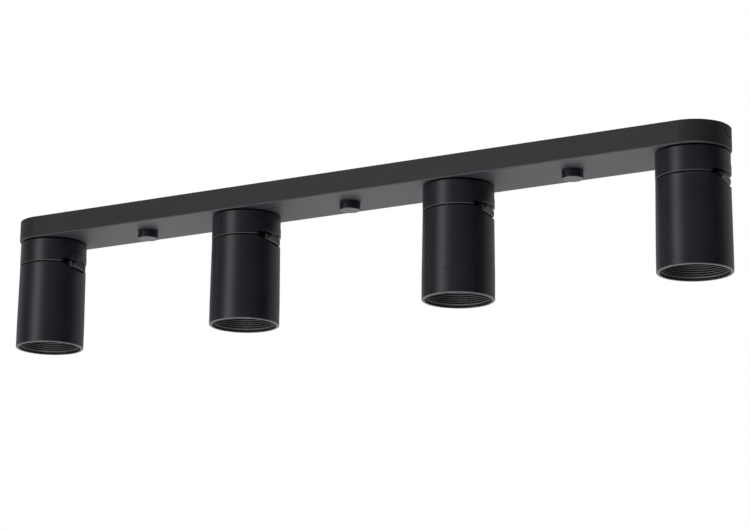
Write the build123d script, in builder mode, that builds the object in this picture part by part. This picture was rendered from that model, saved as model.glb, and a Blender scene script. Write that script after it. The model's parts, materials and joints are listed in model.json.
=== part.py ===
from build123d import *

import os
from math import sqrt

# Ceiling light bar with four round spot heads. Every head turns about its own vertical axis and
# tilts about a small hinge at the edge of its collar.
# Frame: origin at the centre of the face that lies on the ceiling, +Z up, +X along the bar.
# Millimetres throughout. The head pieces are drawn about the head's own axis, with the hinge on
# the +X side, and are set under the bar at the end.

# ---------------------------------------------------------------- driving dimensions
bar_length = 830.0
bar_width = 75.0
bar_height = 23.0
bar_wall = 1.5
bar_edge_radius = 2.0

head_count = 4
head_radius = 36.0
shade_top_radius = 35.9
mouth_radius = 36.6  # the shade widens a little towards its front ring
head_turn = 6.0  # degrees that each head is turned from square with the bar
overall_height = 140.0
groove_height = 1.5  # shadow gap between the bar and the collar
collar_height = 25.0
seam_height = 1.2  # gap between the collar and the shade
ring_height = 24.0
head_wall = 2.0
edge_break = 0.5  # small bevel on the turned edges
seat_gap = 0.05  # left between pieces that are fixed to each other
overcut = 1.0  # how far a cutting shape runs past the face that it opens

hinge_x = 29.5  # hinge axis, out from the head's own axis
hinge_drop = 1.2  # hinge axis, below the collar's lower face
knuckle_radius = 4.0
knuckle_half_length = 15.0
centre_knuckle_half_length = 7.0
knuckle_gap = 0.3
knuckle_reach = 35.6  # the knuckles are turned off flush with the head
pin_radius = 1.25
pin_clearance = 0.05
pin_recess = 0.4  # each end of the pin stops this far inside its knuckle

notch_start_x = 26.2  # where the sloping cut starts in the shade's top face
notch_slope = 0.87  # drop of the cut for each millimetre outwards

stem_radius = 5.0
stem_bore = 3.4
pivot_clearance = 0.08
lead_radius = 1.3
lead_bend = 6.0

stud_radius = 2.5
stud_clearance = 0.4
cap_nut_radius = 10.75
cap_nut_height = 8.8

bracket_length = 640.0
bracket_width = 38.0
bracket_thickness = 1.5
bracket_flange = 5.0
ceiling_slot_spacing = 380.0
ceiling_slot_width = 5.5
ceiling_slot_length = 16.0

# ---------------------------------------------------------------- levels and places
underside = -bar_height
floor_top = underside + bar_wall
collar_top = underside - groove_height
collar_bottom = collar_top - collar_height
shade_top = collar_bottom - seam_height
mouth = -overall_height
ring_top = mouth + ring_height
hinge_z = collar_bottom - hinge_drop

end_centre_x = (bar_length - bar_width) / 2
head_pitch = 2 * end_centre_x / (head_count - 1)
head_places = [-end_centre_x + index * head_pitch for index in range(head_count)]
stud_places = [-head_pitch, 0.0, head_pitch]

finished = {}


def finish(piece, name):
    """Labels a piece and keeps it for export."""
    piece.label = name
    finished[name] = piece


# ================================================================ the bar
entry_width = 15.0
entry_depth = 13.0
entry_gap = 1.5


def u_profile(width, depth):
    """U shape open at the top, in the YZ plane: straight sides and a half-round bottom."""
    straight = depth - width / 2
    with Locations((0, (2 * overcut - straight) / 2)):
        Rectangle(width, straight + 2 * overcut)
    with Locations((0, -straight)):
        Circle(width / 2)


with BuildPart() as canopy_shell:
    with BuildSketch(Plane.XY.offset(underside)):
        SlotOverall(bar_length, bar_width)
    extrude(amount=bar_height)
    fillet(canopy_shell.faces().sort_by(Axis.Z)[0].edges(), bar_edge_radius)
    with BuildSketch(Plane.XY.offset(floor_top)):
        SlotOverall(bar_length - 2 * bar_wall, bar_width - 2 * bar_wall)
    extrude(amount=bar_height, mode=Mode.SUBTRACT)
    with Locations(*[(place, 0, floor_top) for place in head_places]):
        Hole(stem_radius + pivot_clearance)
    with Locations(*[(place, 0, floor_top) for place in stud_places]):
        Hole(stud_radius + stud_clearance)
    with BuildSketch(Plane.YZ.offset(end_centre_x + bar_width / 4)):
        u_profile(entry_width, entry_depth)
    extrude(amount=bar_width / 2, mode=Mode.SUBTRACT)
finish(canopy_shell.part, "canopy_shell")

# Blanking plug of the side cable entry: a face that fills the U, and a flange behind the wall.
end_radius = bar_width / 2
flange_lap = 2.2
plug_inset = 0.1  # the plug's face lies this far under the outside of the wall
plug_top = -0.2  # kept just clear of the ceiling
plug_low = -entry_depth - 2 * flange_lap


def plug_slice(width, depth, outer_radius, inner_radius):
    """The U shape run through the bar's round end, kept between two radii about the end's centre."""
    with BuildPart() as part_slice:
        with BuildSketch(Plane.YZ.offset(end_centre_x + bar_width / 4)):
            u_profile(width, depth)
        extrude(amount=bar_width)
        with BuildSketch(Plane.XY.offset(plug_low)):
            with Locations((end_centre_x, 0)):
                Circle(outer_radius)
                Circle(inner_radius, mode=Mode.SUBTRACT)
        extrude(amount=plug_top - plug_low, mode=Mode.INTERSECT)
    return part_slice.part


plug_face = plug_slice(
    entry_width - 2 * entry_gap,
    entry_depth - entry_gap,
    end_radius - plug_inset,
    end_radius - 2 * bar_wall + seat_gap,
)
plug_flange = plug_slice(
    entry_width + 2 * flange_lap,
    entry_depth + flange_lap,
    end_radius - bar_wall - seat_gap,
    end_radius - 2 * bar_wall,
)
with BuildPart() as cable_entry_plug:
    add(plug_face)
    add(plug_flange)
finish(cable_entry_plug.part, "cable_entry_plug")

# ---------------------------------------------------------------- ceiling bracket
cable_hole_radius = 9.0
cable_hole_x = -60.0
block_x = 62.0
block_length = 32.0
block_width = 18.0
block_height = 12.5
clamp_x = 98.0
clamp_length = 26.0
clamp_height = 6.0
earth_x = 30.0
small_screw_radius = 1.5
stud_head_radius = 3.5
bracket_corner = 4.0
flange_setback = 8.0  # the flanges end this far from the bracket's ends
clamp_screw_reach = 9.5
block_screw_reach = 12.0

bracket_bottom = -bracket_thickness
block_bottom = bracket_bottom - block_height
clamp_bottom = bracket_bottom - clamp_height
screw_places = [
    (block_x - block_screw_reach, 0),
    (block_x + block_screw_reach, 0),
    (clamp_x, -clamp_screw_reach),
    (clamp_x, clamp_screw_reach),
]

with BuildPart() as mounting_bracket:
    with BuildSketch(Plane.XY.offset(bracket_bottom)) as strip:
        Rectangle(bracket_length, bracket_width)
        fillet(strip.vertices(), bracket_corner)
        with Locations(*[(side * ceiling_slot_spacing / 2, 0) for side in (-1, 1)]):
            SlotOverall(ceiling_slot_length, ceiling_slot_width, mode=Mode.SUBTRACT)
        with Locations((cable_hole_x, 0)):
            Circle(cable_hole_radius, mode=Mode.SUBTRACT)
        with Locations(*[(place, 0) for place in stud_places]):
            Circle(stud_head_radius, mode=Mode.SUBTRACT)
        with Locations(*screw_places, (earth_x, 0)):
            Circle(small_screw_radius, mode=Mode.SUBTRACT)
    extrude(amount=bracket_thickness)
    with BuildSketch(Plane.XY.offset(bracket_bottom)):
        with Locations(*[(0, side * (bracket_width - bracket_thickness) / 2) for side in (-1, 1)]):
            Rectangle(bracket_length - 2 * flange_setback, bracket_thickness)
    extrude(amount=-bracket_flange)
finish(mounting_bracket.part, "mounting_bracket")

# Three clinched studs that the bar is hung on, and the round cap nuts that hold it up.
nut_bottom = underside - cap_nut_height
nut_roof = 1.6
nut_rim_round = 0.7
nut_seat_break = 0.4
stud_tip_gap = 0.6
stud_end = nut_bottom + nut_roof + stud_tip_gap
with BuildPart() as bracket_studs:
    for place in stud_places:
        with BuildSketch(Plane.XY.offset(bracket_bottom)):
            with Locations((place, 0)):
                Circle(stud_head_radius)
        extrude(amount=bracket_thickness)
        with BuildSketch(Plane.XY.offset(stud_end)):
            with Locations((place, 0)):
                Circle(stud_radius)
        extrude(amount=bracket_bottom - stud_end)
finish(bracket_studs.part, "bracket_studs")

with BuildPart() as cap_nuts:
    with BuildSketch(Plane.XY.offset(nut_bottom)):
        with Locations(*[(place, 0) for place in stud_places]):
            Circle(cap_nut_radius)
    extrude(amount=cap_nut_height)
    fillet(cap_nuts.faces().group_by(Axis.Z)[0].edges(), nut_rim_round)
    chamfer(cap_nuts.faces().group_by(Axis.Z)[-1].edges(), nut_seat_break)
    with BuildSketch(Plane.XY.offset(underside)):
        with Locations(*[(place, 0) for place in stud_places]):
            Circle(stud_radius)
    extrude(amount=-(cap_nut_height - nut_roof), mode=Mode.SUBTRACT)
finish(cap_nuts.part, "cap_nuts")

# ---------------------------------------------------------------- terminals and strain relief
lead_z = -9.0
inner_run_y = 23.0
outer_run_y = 27.5
lead_starts = [56.0, 52.0, 72.0, 68.0]
terminal_pitch = 10.0
terminal_places = [block_x + step * terminal_pitch for step in (-1, 0, 1)]
groove_places = [block_x + step * terminal_pitch for step in (-0.5, 0.5)]
terminal_screw_y = 5.0
terminal_screw_radius = 1.7
terminal_screw_length = 5.0
terminal_spots = [(x, side * terminal_screw_y) for x in terminal_places for side in (-1, 1)]
screw_recess = 0.4  # the terminal screws' heads lie this far up their holes
screw_side_gap = 0.4
driver_slot_width = 0.6
driver_slot_depth = 0.8
driver_slot_turn = 30
block_corner = 1.2
block_groove_width = 1.2
block_groove_depth = 2.5
lead_socket_depth = 2.0
lead_socket_gap = 0.2
mains_socket_radius = 1.8

with BuildPart() as terminal_block:
    with BuildSketch(Plane.XY.offset(block_bottom)):
        with Locations((block_x, 0)):
            RectangleRounded(block_length, block_width, block_corner)
    extrude(amount=block_height - seat_gap)
    with BuildSketch(Plane.XY.offset(block_bottom)):
        with Locations(*[(x, 0) for x in groove_places]):
            Rectangle(block_groove_width, block_width + overcut)
    extrude(amount=block_groove_depth, mode=Mode.SUBTRACT)
    with BuildSketch(Plane.XY.offset(block_bottom)):
        with Locations(*terminal_spots):
            Circle(terminal_screw_radius + screw_side_gap)
    extrude(amount=screw_recess + terminal_screw_length + seat_gap, mode=Mode.SUBTRACT)
    with BuildSketch(Plane.XY.offset(block_bottom)):
        with Locations(*screw_places[:2]):
            Circle(small_screw_radius)
    extrude(amount=block_height, mode=Mode.SUBTRACT)
    with BuildSketch(Plane.XZ.offset(-block_width / 2)):
        with Locations(*[(x, lead_z) for x in lead_starts]):
            Circle(lead_radius + lead_socket_gap)
    extrude(amount=lead_socket_depth, mode=Mode.SUBTRACT)
    with BuildSketch(Plane.XZ.offset(block_width / 2)):
        with Locations(*[(x, lead_z) for x in terminal_places]):
            Circle(mains_socket_radius)
    extrude(amount=-lead_socket_depth, mode=Mode.SUBTRACT)
finish(terminal_block.part, "terminal_block")

with BuildPart() as terminal_screws:
    with BuildSketch(Plane.XY.offset(block_bottom + screw_recess)):
        with Locations(*terminal_spots):
            Circle(terminal_screw_radius)
            Rectangle(
                2 * terminal_screw_radius - driver_slot_width,
                driver_slot_width,
                rotation=driver_slot_turn,
                mode=Mode.SUBTRACT,
            )
    extrude(amount=driver_slot_depth)
    with BuildSketch(Plane.XY.offset(block_bottom + screw_recess + driver_slot_depth)):
        with Locations(*terminal_spots):
            Circle(terminal_screw_radius)
    extrude(amount=terminal_screw_length - driver_slot_depth)
finish(terminal_screws.part, "terminal_screws")

clamp_width = 8.0
clamp_corner = 2.0
cable_groove_radius = 4.2
with BuildPart() as strain_relief:
    with BuildSketch(Plane.YZ.offset(clamp_x - clamp_width / 2)) as clamp_outline:
        with Locations((0, bracket_bottom - seat_gap - clamp_height / 2)):
            Rectangle(clamp_length, clamp_height)
        fillet(clamp_outline.vertices().group_by(Axis.Y)[0], clamp_corner)
        with Locations((0, bracket_bottom)):
            Circle(cable_groove_radius, mode=Mode.SUBTRACT)
    extrude(amount=clamp_width)
    with BuildSketch(Plane.XY.offset(clamp_bottom - overcut)):
        with Locations(*screw_places[2:]):
            Circle(small_screw_radius)
    extrude(amount=clamp_height + 2 * overcut, mode=Mode.SUBTRACT)
finish(strain_relief.part, "strain_relief")

# Small pan-head screws under the bracket: two through the block, two through the clamp.
screw_seats = [block_bottom, block_bottom, clamp_bottom - seat_gap, clamp_bottom - seat_gap]
screw_head_radius = 2.8
screw_head_height = 1.7
screw_tip = -0.2  # the screws' tips stop just under the ceiling
cross_length = 3.4
cross_width = 0.7
cross_depth = 0.9
with BuildPart() as bracket_screws:
    for place, seat in zip(screw_places, screw_seats):
        with BuildSketch(Plane.XY.offset(seat)):
            with Locations(place):
                Circle(screw_head_radius)
        extrude(amount=-screw_head_height)
        with BuildSketch(Plane.XY.offset(seat)):
            with Locations(place):
                Circle(small_screw_radius)
        extrude(amount=screw_tip - seat)
        with BuildSketch(Plane.XY.offset(seat - screw_head_height)):
            with Locations(place):
                Rectangle(cross_length, cross_width)
                Rectangle(cross_width, cross_length)
        extrude(amount=cross_depth, mode=Mode.SUBTRACT)
finish(bracket_screws.part, "bracket_screws")

earth_tab_side = 9.0
earth_tab_thickness = 1.2
earth_screw_radius = 3.2
earth_screw_height = 2.2
earth_slot_length = 4.5
earth_slot_width = 0.9
earth_tab_top = bracket_bottom - seat_gap
earth_tab_bottom = earth_tab_top - earth_tab_thickness
with BuildPart() as earth_terminal:
    with BuildSketch(Plane.XY.offset(earth_tab_bottom)):
        with Locations((earth_x, 0)):
            RectangleRounded(earth_tab_side, earth_tab_side, 1)
    extrude(amount=earth_tab_thickness)
    with BuildSketch(Plane.XY.offset(earth_tab_bottom)):
        with Locations((earth_x, 0)):
            Circle(earth_screw_radius)
            Rectangle(earth_slot_length, earth_slot_width, mode=Mode.SUBTRACT)
    extrude(amount=-earth_screw_height)
    with BuildSketch(Plane.XY.offset(earth_tab_bottom)):
        with Locations((earth_x, 0)):
            Circle(small_screw_radius)
    extrude(amount=screw_tip - earth_tab_bottom)
finish(earth_terminal.part, "earth_terminal")

# ---------------------------------------------------------------- friction washers at the pivots
washer_thickness = 0.5
upper_washer_radius = 9.0
lower_washer_radius = 13.0
washer_bore = stem_radius + pivot_clearance
with BuildPart() as pivot_washers:
    with BuildSketch(Plane.XY.offset(floor_top)):
        with Locations(*[(place, 0) for place in head_places]):
            Circle(upper_washer_radius)
            Circle(washer_bore, mode=Mode.SUBTRACT)
    extrude(amount=washer_thickness)
    with BuildSketch(Plane.XY.offset(underside)):
        with Locations(*[(place, 0) for place in head_places]):
            Circle(lower_washer_radius)
            Circle(washer_bore, mode=Mode.SUBTRACT)
    extrude(amount=-washer_thickness)
finish(pivot_washers.part, "pivot_washers")

# ---------------------------------------------------------------- wiring inside the bar
def lead_along(route, radius):
    """A round sleeved lead along straight runs joined by arcs."""
    with BuildPart() as lead:
        with BuildLine() as path:
            FilletPolyline(*route, radius=radius)
        with BuildSketch(Plane(origin=path.line @ 0, z_dir=path.line % 0)) as section:
            Circle(lead_radius)
        sweep()
    length = sum(edge.length for edge in path.edges())
    share = lead.part.volume / (length * section.sketch.area)
    print(f"lead {length:.1f} mm long, volume over section times length {share:.4f}")
    return lead.part


stem_rise = 4.2  # the stem's top, above the bar's floor
stem_top = floor_top + stem_rise
lead_lift = 1.2  # the leads stop this far above the stem
lead_end = stem_top + lead_lift
lead_gap = 0.3  # the leads stop this far apart where a head turns or tilts
lead_tail = 0.4  # straight end of each lead after its last bend
lead_runs = [outer_run_y, inner_run_y, inner_run_y, outer_run_y]
lead_start_y = block_width / 2 - lead_socket_depth + lead_gap
drop_bend = lead_z - lead_end - lead_tail
harness_leads = []
for place, start_x, run_y in zip(head_places, lead_starts, lead_runs):
    harness_route = [
        (start_x, lead_start_y, lead_z),
        (start_x, run_y, lead_z),
        (place, run_y, lead_z),
        (place, 0, lead_z),
        (place, 0, lead_end),
    ]
    harness_leads.append(lead_along(harness_route, [lead_bend, lead_bend, drop_bend]))
finish(Compound(children=harness_leads), "harness")

# ================================================================ one head, about its own axis
# ---------------------------------------------------------------- collar and pivot
collar_roof = 2.5
collar_floor = 1.6
boss_radius = 31.5
boss_top = underside - washer_thickness - seat_gap
recess_half_width = 25.6
recess_height = 3.8
recess_depth_x = 24.8
recess_corner = 2.5
housing_half_width = 16.5
housing_height = 13.0
housing_corner = 5.0
housing_lift = 3.7  # the housing's lower face, above the collar's
housing_proud = 0.4  # the housing stands this far outside the collar
housing_radius = head_radius + housing_proud
housing_gap = 0.3  # fine shadow line around the housing
housing_break = 0.3
wire_x = 20.0
wire_hole = 2.0


def hinge_side_profile(half_width, low, high, corner):
    """Rectangle with rounded upper corners, seen from the hinge side, in the YZ plane."""
    with BuildSketch(Plane.YZ.offset(recess_depth_x)) as profile:
        with Locations((0, (low + high) / 2)):
            Rectangle(2 * half_width, high - low)
        fillet(profile.vertices().group_by(Axis.Y)[-1], corner)
    return profile.sketch


recess_outline = hinge_side_profile(
    recess_half_width, collar_bottom - overcut, collar_bottom + recess_height, recess_corner
)
arch_outline = hinge_side_profile(
    housing_half_width, collar_bottom - overcut, collar_bottom + housing_height, housing_corner
)
with BuildPart() as collar:
    with BuildSketch(Plane.XY.offset(collar_bottom)):
        Circle(head_radius)
    extrude(amount=collar_height)
    chamfer(collar.edges(), edge_break)
    with BuildSketch(Plane.XY.offset(collar_top - collar_roof)):
        Circle(boss_radius)
    extrude(amount=boss_top - collar_top + collar_roof)
    with BuildSketch(Plane.XY.offset(collar_bottom + collar_floor)):
        Circle(head_radius - head_wall)
    extrude(amount=collar_height - collar_roof - collar_floor, mode=Mode.SUBTRACT)
    with BuildSketch(Plane.XY.offset(boss_top)):
        Circle(stem_radius)
    extrude(amount=-(boss_top - collar_top + collar_roof + overcut), mode=Mode.SUBTRACT)
    with BuildSketch(Plane.XY.offset(collar_bottom)):
        with Locations((wire_x, 0)):
            Circle(wire_hole)
    extrude(amount=collar_floor, mode=Mode.SUBTRACT)
    extrude(recess_outline, amount=head_radius, mode=Mode.SUBTRACT)
    extrude(arch_outline, amount=head_radius, mode=Mode.SUBTRACT)
finish(collar.part, "collar")

stem_flange_radius = 8.0
stem_flange_height = 2.0
with BuildPart() as swivel_stem:
    with BuildSketch(Plane.XY.offset(collar_top - collar_roof)):
        Circle(stem_flange_radius)
    extrude(amount=-stem_flange_height)
    with BuildSketch(Plane.XY.offset(collar_top - collar_roof)):
        Circle(stem_radius)
    extrude(amount=stem_top - collar_top + collar_roof)
    chamfer(swivel_stem.faces().sort_by(Axis.Z)[-1].edges(), edge_break)
    with BuildSketch(Plane.XY.offset(stem_top)):
        Circle(stem_bore)
    extrude(amount=-bar_height, mode=Mode.SUBTRACT)
finish(swivel_stem.part, "swivel_stem")

nut_across_flats = 14.0
nut_thickness = 3.0
with BuildPart() as stem_nut:
    with BuildSketch(Plane.XY.offset(floor_top + washer_thickness + seat_gap)):
        RegularPolygon(nut_across_flats / 2, 6, major_radius=False)
        Circle(stem_radius, mode=Mode.SUBTRACT)
    extrude(amount=nut_thickness)
finish(stem_nut.part, "stem_nut")

# ---------------------------------------------------------------- hinge bracket, fixed in the collar
# A housing fills the arch in the collar and stands a little proud of it. The centre knuckle hangs
# under it on a short neck, and a wall behind closes the collar.
neck_outer_x = 33.0
wall_thickness = 2.0
housing_bottom = collar_bottom + housing_lift
housing_outline = hinge_side_profile(
    housing_half_width - housing_gap,
    housing_bottom,
    collar_bottom + housing_height - housing_gap,
    housing_corner - housing_gap,
)
with BuildPart() as hinge_housing:
    extrude(housing_outline, amount=head_radius)
    with BuildSketch(Plane.XY.offset(collar_bottom)):
        Circle(housing_radius)
    extrude(amount=collar_height, mode=Mode.INTERSECT)
    outer_face = hinge_housing.faces().filter_by(GeomType.CYLINDER).sort_by(Axis.X)[-1]
    chamfer(outer_face.edges(), housing_break)

with BuildPart() as hinge_wall:
    with BuildSketch(Plane.XY.offset(collar_bottom + collar_floor)):
        Circle(head_radius - head_wall - seat_gap)
        with Locations((recess_depth_x - wall_thickness / 2, 0)):
            Rectangle(wall_thickness, 2 * head_radius, mode=Mode.INTERSECT)
    extrude(amount=housing_height)

neck_setback = 2.0  # the neck's inner face, inside the hinge axis
neck_inner_x = hinge_x - neck_setback
neck_top = housing_bottom + overcut
with BuildPart() as centre_knuckle:
    with BuildSketch(Plane.XZ.offset(-centre_knuckle_half_length)):
        with Locations((hinge_x, hinge_z)):
            Circle(knuckle_radius)
        with Locations(((neck_inner_x + neck_outer_x) / 2, (hinge_z + neck_top) / 2)):
            Rectangle(neck_outer_x - neck_inner_x, neck_top - hinge_z)
        with Locations((hinge_x, hinge_z)):
            Circle(pin_radius + pin_clearance, mode=Mode.SUBTRACT)
    extrude(amount=2 * centre_knuckle_half_length)
    with BuildSketch(Plane.XY.offset(hinge_z - head_radius)):
        Circle(knuckle_reach)
    extrude(amount=2 * head_radius, mode=Mode.INTERSECT)

with BuildPart() as hinge_bracket:
    add(hinge_housing.part)
    add(hinge_wall.part)
    add(centre_knuckle.part)
finish(hinge_bracket.part, "hinge_bracket")

pin_half_length = knuckle_half_length - pin_recess
with BuildPart() as hinge_pin:
    with BuildSketch(Plane.XZ.offset(-pin_half_length)):
        with Locations((hinge_x, hinge_z)):
            Circle(pin_radius)
    extrude(amount=2 * pin_half_length)
    chamfer(hinge_pin.edges().filter_by(GeomType.CIRCLE), edge_break / 2)
finish(hinge_pin.part, "hinge_pin")

# ---------------------------------------------------------------- shade with its outer knuckles
shade_roof = 1.6
ring_joint = 0.1  # fine open line between the shade and the front ring
shade_bottom = ring_top + ring_joint / 2
slope_wall = 5.0  # metal left under the sloping cut, where the hinge seats
boss_radius_inside = 4.0
boss_height = 3.0
boss_screw_y = 18.0
screw_end_gap = 0.4
slope_length = sqrt(1 + notch_slope**2)
cavity_slope_start = notch_start_x - slope_wall * slope_length / notch_slope


def sloping_wedge(start_x):
    """Everything above the sloping cut whose upper end is at start_x in the shade's top face."""
    with BuildPart() as wedge:
        with BuildSketch(Plane.XZ.offset(-head_radius - overcut)):
            Polygon(
                (start_x - overcut, shade_top + overcut * notch_slope),
                (start_x + head_radius, shade_top + overcut * notch_slope),
                (start_x + head_radius, shade_top - head_radius * notch_slope),
                align=None,
            )
        extrude(amount=2 * (head_radius + overcut))
    return wedge.part


with BuildPart() as shade_cavity:
    with BuildSketch(Plane.XY.offset(ring_top)):
        Circle(head_radius - head_wall)
    extrude(amount=shade_top - shade_roof - ring_top)
    add(sloping_wedge(cavity_slope_start), mode=Mode.SUBTRACT)
    with BuildSketch(Plane.XY.offset(shade_top - shade_roof - boss_height)):
        with Locations((0, boss_screw_y), (0, -boss_screw_y)):
            Circle(boss_radius_inside)
    extrude(amount=boss_height, mode=Mode.SUBTRACT)

with BuildPart() as outer_knuckles:
    for side in (-1, 1):
        near = side * (centre_knuckle_half_length + knuckle_gap)
        far = side * knuckle_half_length
        with BuildSketch(Plane.XZ.offset(-near)):
            with Locations((hinge_x, hinge_z)):
                Circle(knuckle_radius)
        extrude(amount=near - far)
    outer_ends = outer_knuckles.faces().sort_by(Axis.Y)
    chamfer(outer_ends[0].edges() + outer_ends[-1].edges(), edge_break)
    with BuildSketch(Plane.XY.offset(hinge_z - head_radius)):
        Circle(knuckle_reach)
    extrude(amount=2 * head_radius, mode=Mode.INTERSECT)

with BuildPart() as shade:
    with BuildSketch(Plane.XZ):
        Polygon(
            (0, shade_bottom),
            (mouth_radius, shade_bottom),
            (shade_top_radius, shade_top - edge_break),
            (shade_top_radius - edge_break, shade_top),
            (0, shade_top),
            align=None,
        )
    revolve(axis=Axis.Z)
    add(sloping_wedge(notch_start_x), mode=Mode.SUBTRACT)
    add(outer_knuckles.part)
    add(shade_cavity.part, mode=Mode.SUBTRACT)
    with BuildSketch(Plane.XZ.offset(-(centre_knuckle_half_length + knuckle_gap))):
        with Locations((hinge_x, hinge_z)):
            Circle(knuckle_radius + knuckle_gap)
    extrude(amount=2 * (centre_knuckle_half_length + knuckle_gap), mode=Mode.SUBTRACT)
    with BuildSketch(Plane.XZ.offset(-head_radius)):
        with Locations((hinge_x, hinge_z)):
            Circle(pin_radius)
    extrude(amount=2 * head_radius, mode=Mode.SUBTRACT)
    with BuildSketch(Plane.XY.offset(shade_top)):
        with Locations((wire_x, 0)):
            Circle(wire_hole)
    extrude(amount=-shade_roof - 2 * slope_wall, mode=Mode.SUBTRACT)
    with BuildSketch(Plane.XY.offset(shade_top - shade_roof - boss_height)):
        with Locations((0, boss_screw_y), (0, -boss_screw_y)):
            Circle(small_screw_radius)
    extrude(amount=boss_height + screw_end_gap, mode=Mode.SUBTRACT)
finish(shade.part, "shade")

# ---------------------------------------------------------------- front ring with its baffle grooves
rib_pitch = 2.25
rib_crest_radius = 32.4
rib_valley_radius = 33.2
lip_height = 2.6
spigot_height = 6.0
rib_count = int((ring_height - lip_height) / rib_pitch)

ring_body_top = ring_top - ring_joint / 2
ring_inner_top = ring_top + spigot_height
spigot_radius = head_radius - head_wall - seat_gap
mouth_break = 0.6
crest_start = 0.5 * rib_pitch
crest_end = 0.9 * rib_pitch

with BuildPart() as front_ring:
    with BuildSketch(Plane.XZ):
        with BuildLine():
            rib_points = [
                (rib_valley_radius + mouth_break / 2, mouth),
                (rib_valley_radius, mouth + lip_height),
            ]
            for rib in range(rib_count):
                foot = mouth + lip_height + rib * rib_pitch
                rib_points.append((rib_crest_radius, foot + crest_start))
                rib_points.append((rib_crest_radius, foot + crest_end))
                rib_points.append((rib_valley_radius, foot + rib_pitch))
            Polyline(
                *rib_points,
                (rib_crest_radius, ring_top),
                (rib_crest_radius, ring_inner_top),
                (spigot_radius, ring_inner_top),
                (spigot_radius, ring_body_top),
                (mouth_radius, ring_body_top),
                (mouth_radius, mouth + mouth_break),
                (mouth_radius - mouth_break, mouth),
                close=True,
            )
        make_face()
    revolve(axis=Axis.Z)
finish(front_ring.part, "front_ring")

# ---------------------------------------------------------------- lampholder, its bracket and screws
bridge_thickness = 1.2
bridge_width = 14.0
bridge_corner = 3.0
bridge_disc_radius = 11.0
bridge_top = shade_top - shade_roof - boss_height
holder_radius = 13.0
holder_height = 15.0
holder_top = bridge_top - bridge_thickness
holder_bottom = holder_top - holder_height
holder_break = 0.8
keyhole_depth = 9.0
keyhole_head_radius = 2.7
keyhole_neck_radius = 1.5
keyhole_turn = 15  # degrees between the keyhole's head and each step of its neck
lamp_pin_offset = 5.0
holder_screw_x = 8.6
screw_sink_gap = 0.4
screw_sink = screw_head_height + screw_sink_gap  # the holder's own screws lie below its face
boss_spots = [(0, boss_screw_y), (0, -boss_screw_y)]
holder_spots = [(-holder_screw_x, 0), (holder_screw_x, 0)]

with BuildPart() as holder_bracket:
    with BuildSketch(Plane.XY.offset(holder_top)) as bridge_outline:
        Rectangle(bridge_width, 2 * (boss_screw_y + boss_radius_inside))
        fillet(bridge_outline.vertices(), bridge_corner)
        Circle(bridge_disc_radius)
        with Locations(*boss_spots, *holder_spots):
            Circle(small_screw_radius, mode=Mode.SUBTRACT)
    extrude(amount=bridge_thickness)
finish(holder_bracket.part, "holder_bracket")

with BuildPart() as lampholder:
    with BuildSketch(Plane.XY.offset(holder_bottom)):
        Circle(holder_radius)
    extrude(amount=holder_height)
    chamfer(lampholder.edges(), holder_break)
    # keyhole slots for the two lamp pins
    with BuildSketch(Plane.XY.offset(holder_bottom)):
        with PolarLocations(lamp_pin_offset, 2, start_angle=90):
            Circle(keyhole_head_radius)
        for step in (1, 2, 3):
            with PolarLocations(lamp_pin_offset, 2, start_angle=90 + step * keyhole_turn):
                Circle(keyhole_neck_radius)
    extrude(amount=keyhole_depth, mode=Mode.SUBTRACT)
    with BuildSketch(Plane.XY.offset(holder_bottom)):
        with Locations(*holder_spots):
            Circle(small_screw_radius)
    extrude(amount=holder_height, mode=Mode.SUBTRACT)
    with BuildSketch(Plane.XY.offset(holder_bottom)):
        with Locations(*holder_spots):
            Circle(screw_head_radius + screw_side_gap)
    extrude(amount=screw_sink, mode=Mode.SUBTRACT)
finish(lampholder.part, "lampholder")

# Two screws hold the bracket to the shade's bosses, two hold the holder to the bracket.
boss_screw_span = (holder_top, bridge_top + boss_height)
screw_end_rise = 0.6  # the holder's screws end this far above the bridge
holder_screw_span = (holder_bottom + screw_sink, bridge_top + screw_end_rise)
screw_spans = [(spot, boss_screw_span) for spot in boss_spots]
screw_spans += [(spot, holder_screw_span) for spot in holder_spots]
with BuildPart() as holder_screws:
    for spot, (seat, tip) in screw_spans:
        with BuildSketch(Plane.XY.offset(seat)):
            with Locations(spot):
                Circle(screw_head_radius)
        extrude(amount=-screw_head_height)
        with BuildSketch(Plane.XY.offset(seat - screw_head_height)):
            with Locations(spot):
                Rectangle(cross_length, cross_width)
        extrude(amount=cross_depth, mode=Mode.SUBTRACT)
        with BuildSketch(Plane.XY.offset(seat)):
            with Locations(spot):
                Circle(small_screw_radius)
        extrude(amount=tip - seat)
finish(holder_screws.part, "holder_screws")

# ---------------------------------------------------------------- leads inside a head
lead_run_end = 9.0  # straight length of the lead inside the stem, and above the hole it leaves by
holder_entry_z = (holder_top + holder_bottom) / 2
holder_entry_bend = 4.0
upper_route = [
    (0, 0, lead_end - lead_gap),
    (0, 0, collar_top - lead_run_end),
    (wire_x, 0, collar_bottom + lead_run_end),
    (wire_x, 0, collar_bottom + lead_gap),
]
lower_route = [
    (wire_x, 0, shade_top - lead_gap),
    (wire_x, 0, holder_entry_z),
    (holder_radius, 0, holder_entry_z),
]
finish(lead_along(upper_route, lead_bend), "collar_lead")
finish(lead_along(lower_route, holder_entry_bend), "shade_lead")

# ================================================================ writing the pieces
head_nodes = [
    "collar",
    "swivel_stem",
    "stem_nut",
    "hinge_bracket",
    "hinge_pin",
    "shade",
    "front_ring",
    "lampholder",
    "holder_bracket",
    "holder_screws",
    "collar_lead",
    "shade_lead",
]
os.makedirs("parts", exist_ok=True)
for name, piece in finished.items():
    if name not in head_nodes:
        export_step(piece, f"parts/{name}.step")
        continue
    for number, place in enumerate(head_places, start=1):
        set_piece = Pos(place, 0, 0) * Rot(0, 0, head_turn) * piece
        set_piece.label = f"{name}_{number}"
        export_step(set_piece, f"parts/{name}_{number}.step")
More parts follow.
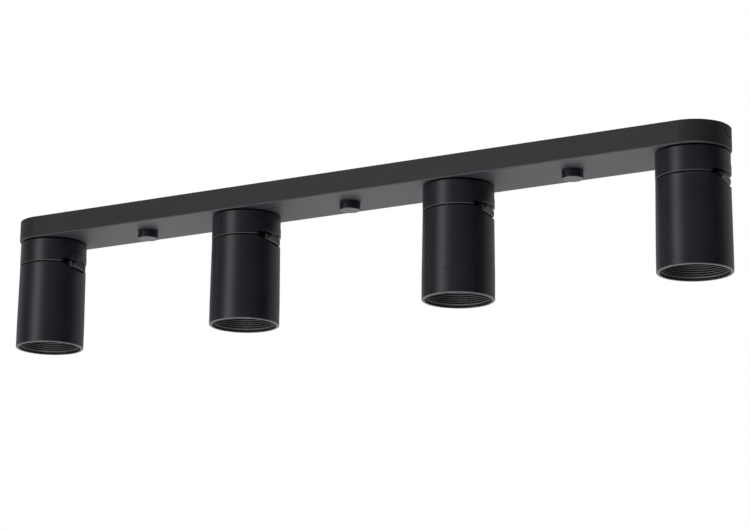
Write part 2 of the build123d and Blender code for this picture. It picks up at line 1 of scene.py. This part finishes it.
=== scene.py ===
import json
from math import cos, radians, sin

import bpy
from mathutils import Matrix, Vector


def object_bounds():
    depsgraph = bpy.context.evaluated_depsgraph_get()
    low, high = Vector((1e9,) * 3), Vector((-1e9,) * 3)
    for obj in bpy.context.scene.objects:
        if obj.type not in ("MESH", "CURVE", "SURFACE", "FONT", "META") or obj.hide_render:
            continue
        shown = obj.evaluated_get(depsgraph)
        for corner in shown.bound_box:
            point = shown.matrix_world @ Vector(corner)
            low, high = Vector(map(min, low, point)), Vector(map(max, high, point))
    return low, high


# A black ceiling bar with four spot heads: finishes, floor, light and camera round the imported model.
# Everything is in metres in the model's own frame, with the ceiling at z = 0 and the bar along X.

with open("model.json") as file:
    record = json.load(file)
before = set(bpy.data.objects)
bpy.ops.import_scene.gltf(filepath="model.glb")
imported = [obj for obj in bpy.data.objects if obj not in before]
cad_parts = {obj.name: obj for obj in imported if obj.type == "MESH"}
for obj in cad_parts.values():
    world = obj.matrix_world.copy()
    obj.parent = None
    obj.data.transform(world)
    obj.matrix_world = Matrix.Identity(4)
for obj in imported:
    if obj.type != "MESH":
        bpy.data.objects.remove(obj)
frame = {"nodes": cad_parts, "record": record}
cad_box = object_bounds()

scene = bpy.context.scene
scene.view_settings.view_transform = "Standard"

MM = 0.001


# ================================================================ camera
def aim_camera():
    """Looks up at the bar from the front right, with the far end to the left."""
    yaw, pitch, roll = radians(-29.69), radians(14.047), radians(0.617)
    ahead = Vector((sin(yaw) * cos(pitch), cos(yaw) * cos(pitch), sin(pitch)))
    level_right = Vector((cos(yaw), -sin(yaw), 0))
    level_up = level_right.cross(ahead)
    right = cos(roll) * level_right + sin(roll) * level_up
    up = -sin(roll) * level_right + cos(roll) * level_up

    data = bpy.data.cameras.new("camera")
    data.lens = 115.94
    data.sensor_width = 36
    camera = bpy.data.objects.new("camera", data)
    scene.collection.objects.link(camera)
    camera.matrix_world = Matrix((right, up, -ahead)).transposed().to_4x4()
    camera.location = (1.2088, -2.0669, -0.6882)
    scene.camera = camera


aim_camera()


# ================================================================ finishes
class Finish:
    """A Principled material whose colour, roughness and bump come from its own nodes."""

    def __init__(self, name, metallic=0.0, specular=0.5):
        self.material = bpy.data.materials.new(name)
        self.material.use_nodes = True
        self.tree = self.material.node_tree
        self.shader = self.tree.nodes["Principled BSDF"]
        self.shader.inputs["Metallic"].default_value = metallic
        self.shader.inputs["Specular IOR Level"].default_value = specular
        self.place = self.add("ShaderNodeTexCoord").outputs["Object"]

    def add(self, kind, links=(), **settings):
        """Adds a node; settings name its properties or its sockets, links its wired sockets."""
        made = self.tree.nodes.new(kind)
        for key, value in settings.items():
            if hasattr(made, key):
                setattr(made, key, value)
            else:
                made.inputs[key.replace("_", " ")].default_value = value
        for key, source in dict(links).items():
            self.tree.links.new(source, made.inputs[key])
        return made

    def noise(self, size, detail=2.0, stretch=None):
        """Noise with features of about the given size in metres, from 0 to 1."""
        place = self.place
        if stretch:
            place = self.add("ShaderNodeMapping", {"Vector": place}, Scale=stretch).outputs["Vector"]
        made = self.add("ShaderNodeTexNoise", {"Vector": place}, Scale=1 / size, Detail=detail)
        return made.outputs["Fac"]

    def mix_levels(self, source, low, high, start=0.3, end=0.7):
        """Maps a 0 to 1 pattern to a range of values."""
        made = self.add("ShaderNodeMapRange", {"Value": source}, interpolation_type="SMOOTHSTEP")
        for key, value in (("From Min", start), ("From Max", end), ("To Min", low), ("To Max", high)):
            made.inputs[key].default_value = value
        return made.outputs["Result"]

    def colours(self, source, dark, light, start=0.3, end=0.7):
        """Colour between two shades, by a pattern."""
        ramp = self.add("ShaderNodeValToRGB", {"Fac": source})
        ramp.color_ramp.elements[0].position = start
        ramp.color_ramp.elements[0].color = (*dark, 1)
        ramp.color_ramp.elements[1].position = end
        ramp.color_ramp.elements[1].color = (*light, 1)
        self.tree.links.new(ramp.outputs["Color"], self.shader.inputs["Base Color"])

    def roughness(self, source, low, high):
        """Roughness between two values, by a pattern."""
        result = self.mix_levels(source, low, high)
        self.tree.links.new(result, self.shader.inputs["Roughness"])

    def bumps(self, *layers):
        """Stacks bump layers, each a pattern and its height in metres."""
        normal = None
        for source, height in layers:
            links = {"Height": source}
            if normal:
                links["Normal"] = normal
            normal = self.add("ShaderNodeBump", links, Strength=1.0, Distance=height).outputs["Normal"]
        self.tree.links.new(normal, self.shader.inputs["Normal"])


def fine_textured_coat():
    """Matt powder coat with a fine leathery grain, for the bar."""
    coat = Finish("fine_textured_black_coat")
    cloud = coat.noise(50 * MM, 3)
    grain = coat.noise(0.7 * MM, 3)
    speck = coat.noise(0.25 * MM, 1)
    coat.colours(cloud, (0.0105, 0.0103, 0.0145), (0.0145, 0.0142, 0.0190))
    coat.roughness(grain, 0.50, 0.60)
    coat.bumps((grain, 0.03 * MM), (speck, 0.008 * MM))
    return coat.material


def satin_coat(name, turned=False):
    """Smoother satin powder coat with a faint orange peel, for the heads and cap nuts.

    On the turned front rings it lies over fine lines that run round the ring.
    """
    coat = Finish(name)
    cloud = coat.noise(30 * MM, 3)
    peel = coat.noise(1.8 * MM, 2)
    coat.colours(cloud, (0.0072, 0.0068, 0.0120), (0.0105, 0.0098, 0.0160))
    coat.roughness(peel, 0.36, 0.43)
    if turned:
        lines = coat.noise(0.9 * MM, 2, stretch=(0.01, 0.01, 1.0))
        coat.bumps((lines, 0.006 * MM), (peel, 0.008 * MM))
    else:
        speck = coat.noise(0.35 * MM, 1)
        coat.bumps((peel, 0.008 * MM), (speck, 0.002 * MM))
    return coat.material


def moulded_plastic():
    """Black nylon of the cable plug and the friction washers, with a spark-eroded mould surface."""
    plastic = Finish("moulded_black_nylon", specular=0.4)
    cloud = plastic.noise(20 * MM, 2)
    grain = plastic.noise(0.5 * MM, 3)
    plastic.colours(cloud, (0.014, 0.014, 0.015), (0.020, 0.020, 0.021))
    plastic.roughness(grain, 0.5, 0.62)
    plastic.bumps((grain, 0.02 * MM))
    return plastic.material


def zinc_plate():
    """Passivated zinc on steel: slightly cloudy, with fine rolling lines."""
    zinc = Finish("zinc_plated_steel", metallic=1.0)
    cloud = zinc.noise(5 * MM, 5)
    lines = zinc.noise(0.6 * MM, 3, stretch=(0.03, 1.0, 1.0))
    zinc.colours(cloud, (0.57, 0.57, 0.56), (0.65, 0.66, 0.67))
    zinc.roughness(lines, 0.32, 0.42)
    zinc.bumps((lines, 0.004 * MM))
    return zinc.material


def black_oxide():
    """Oiled black oxide on the hinge pins."""
    oxide = Finish("black_oxide_steel", metallic=0.6)
    cloud = oxide.noise(4 * MM, 3)
    lines = oxide.noise(0.3 * MM, 2, stretch=(1.0, 0.05, 1.0))
    oxide.colours(cloud, (0.018, 0.018, 0.020), (0.040, 0.038, 0.036))
    oxide.roughness(cloud, 0.3, 0.45)
    oxide.bumps((lines, 0.004 * MM))
    return oxide.material


def plain_brass():
    """Bare brass of the terminals, unevenly tarnished."""
    brass = Finish("plain_brass", metallic=1.0)
    cloud = brass.noise(6 * MM, 4)
    lines = brass.noise(0.4 * MM, 2)
    brass.colours(cloud, (0.60, 0.42, 0.17), (0.80, 0.62, 0.30))
    brass.roughness(cloud, 0.22, 0.4)
    brass.bumps((lines, 0.005 * MM))
    return brass.material


def natural_nylon():
    """Undyed nylon of the terminal block and cable clamp, which lets a little light in."""
    nylon = Finish("natural_nylon", specular=0.45)
    cloud = nylon.noise(10 * MM, 3)
    grain = nylon.noise(0.6 * MM, 2)
    nylon.colours(cloud, (0.70, 0.68, 0.61), (0.80, 0.79, 0.74))
    nylon.roughness(grain, 0.42, 0.55)
    nylon.bumps((grain, 0.01 * MM))
    nylon.shader.inputs["Subsurface Weight"].default_value = 0.1
    nylon.shader.inputs["Subsurface Radius"].default_value = (3 * MM, 3 * MM, 2 * MM)
    return nylon.material


def braided_sleeve():
    """Fibreglass braid: two families of diagonal strands."""
    sleeve = Finish("braided_fibreglass", specular=0.3)
    strands = []
    for turn in (45, -45):
        tilted = sleeve.add("ShaderNodeMapping", {"Vector": sleeve.place}, Rotation=(0, 0, radians(turn)))
        wave = sleeve.add(
            "ShaderNodeTexWave", {"Vector": tilted.outputs["Vector"]}, Scale=1 / (4 * MM), Distortion=0.4
        )
        strands.append(wave.outputs["Fac"])
    sleeve.colours(strands[0], (0.58, 0.55, 0.47), (0.80, 0.78, 0.71), 0.2, 0.8)
    sleeve.roughness(strands[1], 0.7, 0.9)
    sleeve.bumps((strands[0], 0.08 * MM), (strands[1], 0.08 * MM))
    return sleeve.material


def steatite():
    """Unglazed white ceramic of the lampholders, slightly speckled."""
    ceramic = Finish("unglazed_steatite", specular=0.4)
    speck = ceramic.noise(1.2 * MM, 4)
    grain = ceramic.noise(0.4 * MM, 3)
    ceramic.colours(speck, (0.66, 0.63, 0.56), (0.82, 0.80, 0.75), 0.35, 0.6)
    ceramic.roughness(grain, 0.55, 0.75)
    ceramic.bumps((grain, 0.02 * MM))
    return ceramic.material


finishes = {
    "black_coat": fine_textured_coat(),
    "black_coat_smooth": satin_coat("satin_black_coat"),
    "black_baffle": satin_coat("turned_satin_black", turned=True),
    "black_pin": black_oxide(),
    "black_plastic": moulded_plastic(),
    "zinc_steel": zinc_plate(),
    "brass": plain_brass(),
    "white_nylon": natural_nylon(),
    "lead_sleeve": braided_sleeve(),
    "ceramic": steatite(),
}
for subpart in frame["record"]["subparts"]:
    mesh = frame["nodes"][subpart["node"]].data
    mesh.materials.clear()
    mesh.materials.append(finishes[subpart["material_slot"]])


# ================================================================ floor
def lay_floor():
    """A plain pale floor, a room's height under the ceiling, that ends sooner at the right and front."""
    depth, near, far = 2.4, 3.0, 12.0
    mesh = bpy.data.meshes.new("floor")
    corners = [(-far, -near, -depth), (near, -near, -depth), (near, far, -depth), (-far, far, -depth)]
    mesh.from_pydata(corners, [], [(0, 1, 2, 3)])
    floor = bpy.data.objects.new("floor", mesh)
    scene.collection.objects.link(floor)
    pale = Finish("pale_floor", specular=0.2)
    cloud = pale.noise(800 * MM, 2)
    pale.colours(cloud, (0.80, 0.80, 0.79), (0.84, 0.84, 0.83))
    pale.roughness(cloud, 0.75, 0.85)
    pale.bumps((cloud, 0.5 * MM))
    mesh.materials.append(pale.material)


lay_floor()


# ================================================================ light
def studio_world():
    """A white wall behind the object and a dim fill from the front, with a white background for the view."""
    world = bpy.data.worlds.new("studio")
    scene.world = world
    world.use_nodes = True
    tree = world.node_tree
    tree.nodes.clear()

    def add(kind, **settings):
        made = tree.nodes.new(kind)
        for key, value in settings.items():
            setattr(made, key, value)
        return made

    direction = add("ShaderNodeTexCoord").outputs["Generated"]

    def lobe(azimuth, elevation, start, end, low, high):
        """Light that grows from low to high towards a direction.

        It does so between start and end, both cosines of the angle off that direction.
        """
        a, e = radians(azimuth), radians(elevation)
        along = add("ShaderNodeVectorMath", operation="DOT_PRODUCT")
        tree.links.new(direction, along.inputs[0])
        along.inputs[1].default_value = (cos(a) * cos(e), sin(a) * cos(e), sin(e))
        rise = add("ShaderNodeMapRange", interpolation_type="SMOOTHSTEP")
        tree.links.new(along.outputs["Value"], rise.inputs["Value"])
        rise.inputs["From Min"].default_value = start
        rise.inputs["From Max"].default_value = end
        rise.inputs["To Min"].default_value = low
        rise.inputs["To Max"].default_value = high
        return rise.outputs["Result"]

    white_wall = lobe(azimuth=114, elevation=0, start=-0.15, end=0.42, low=0.0, high=0.45)
    front_fill = lobe(azimuth=282, elevation=20, start=0.3, end=0.95, low=0.02, high=0.22)
    both = add("ShaderNodeMath", operation="ADD")
    tree.links.new(white_wall, both.inputs[0])
    tree.links.new(front_fill, both.inputs[1])

    lit = add("ShaderNodeBackground")
    lit.inputs["Color"].default_value = (0.97, 0.985, 1.0, 1)
    tree.links.new(both.outputs["Value"], lit.inputs["Strength"])
    plain = add("ShaderNodeBackground")
    plain.inputs["Color"].default_value = (1, 1, 1, 1)
    path = add("ShaderNodeLightPath")
    mix = add("ShaderNodeMixShader")
    tree.links.new(path.outputs["Is Camera Ray"], mix.inputs[0])
    tree.links.new(lit.outputs["Background"], mix.inputs[1])
    tree.links.new(plain.outputs["Background"], mix.inputs[2])
    output = add("ShaderNodeOutputWorld")
    tree.links.new(mix.outputs["Shader"], output.inputs["Surface"])


def overhead_light():
    """A broad soft light from above that keeps the floor pale."""
    data = bpy.data.lights.new("overhead", "SUN")
    data.energy = 3.8
    data.angle = radians(25)
    lamp = bpy.data.objects.new("overhead", data)
    scene.collection.objects.link(lamp)


def panel_light(name, place, width, height, power):
    """A rectangular soft light that faces the object and isn't seen itself."""
    data = bpy.data.lights.new(name, "AREA")
    data.shape = "RECTANGLE"
    data.size = width
    data.size_y = height
    data.energy = power
    lamp = bpy.data.objects.new(name, data)
    scene.collection.objects.link(lamp)
    lamp.location = place
    middle = (Vector(cad_box[0]) + Vector(cad_box[1])) / 2
    lamp.rotation_euler = (middle - lamp.location).to_track_quat("-Z", "Y").to_euler()
    lamp.visible_camera = False


studio_world()
overhead_light()
# The soft box draws the stripe down each head, and the floor board lights the mouths from below.
panel_light("soft_box", place=(-1.04, -2.34, 0.5), width=0.9, height=2.0, power=17)
panel_light("floor_board", place=(-0.3, -0.5, -2.0), width=3.0, height=1.8, power=36)
